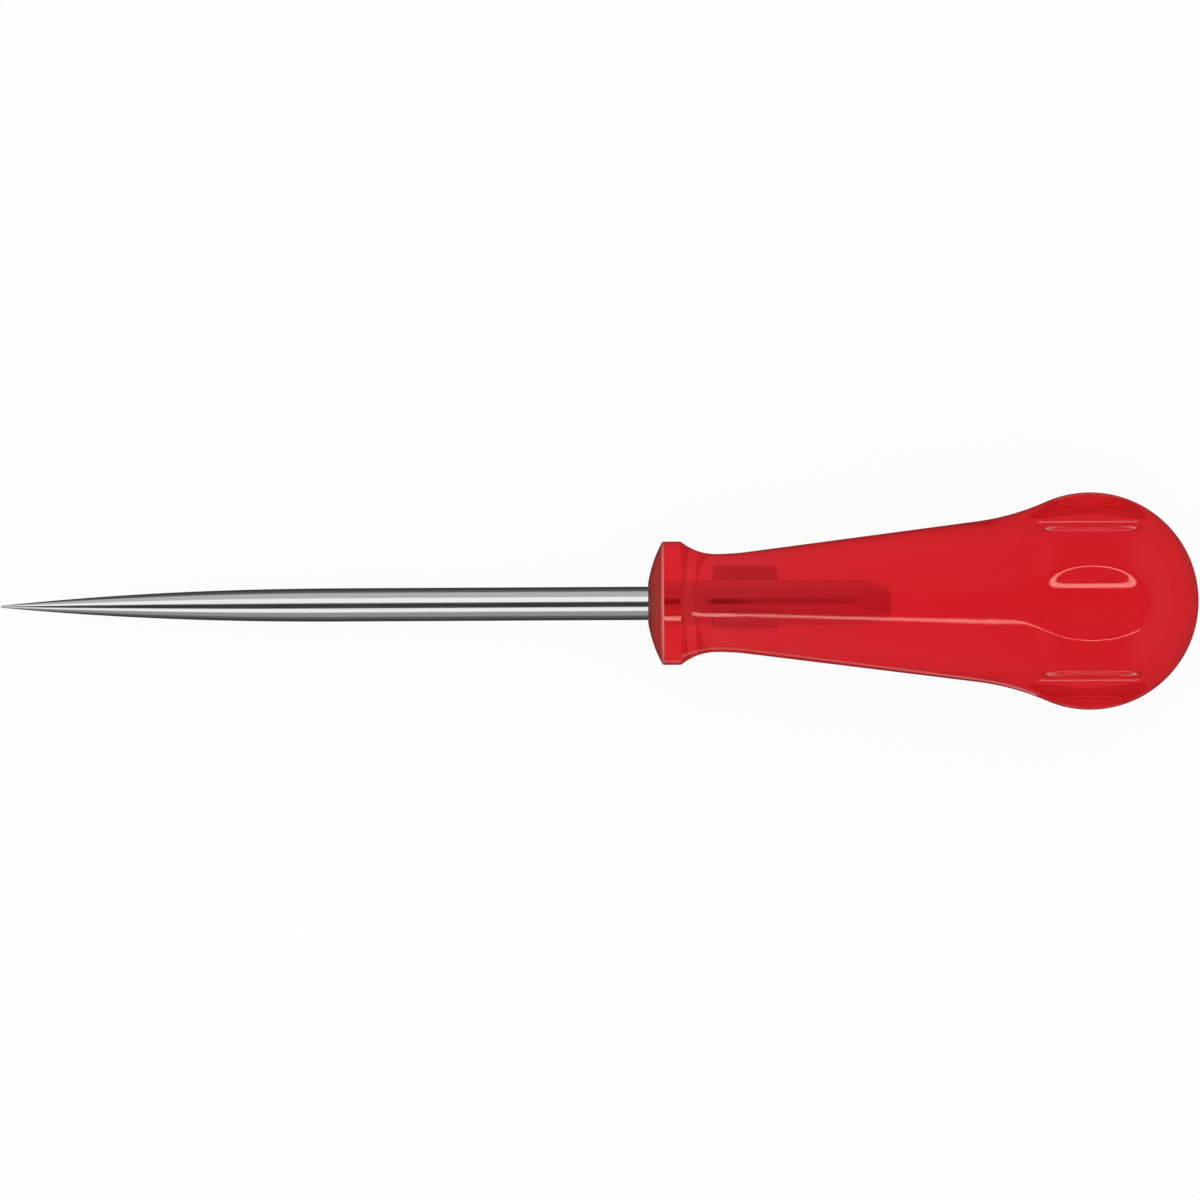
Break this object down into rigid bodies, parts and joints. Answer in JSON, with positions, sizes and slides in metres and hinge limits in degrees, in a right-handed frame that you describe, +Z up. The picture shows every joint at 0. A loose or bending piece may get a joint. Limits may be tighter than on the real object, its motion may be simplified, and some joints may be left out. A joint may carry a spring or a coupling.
{
  "type": "bradawl",
  "caption": "Hand awl with a polished round steel blade ground to a long needle point, fixed in a pear-shaped clear red plastic handle with a collar, slim neck and fluted bulb.",
  "frame": {"origin": "on the tool's axis, where the shank meets the handle's front face", "axes": "+X runs along the tool's axis from the point to the handle's butt, +Z is up through the middle of one finger flute"},
  "size_m": [0.1795, 0.0326, 0.0308],
  "materials": {
    "polished_steel": "bright polished steel with fine grinding lines along the blade",
    "clear_red_plastic": "clear red cellulose plastic, smooth and glossy, through which the tang shows"
  },
  "bodies": {
    "root": {"blade": "polished_steel", "handle": "clear_red_plastic"}
  },
  "joints": []
}
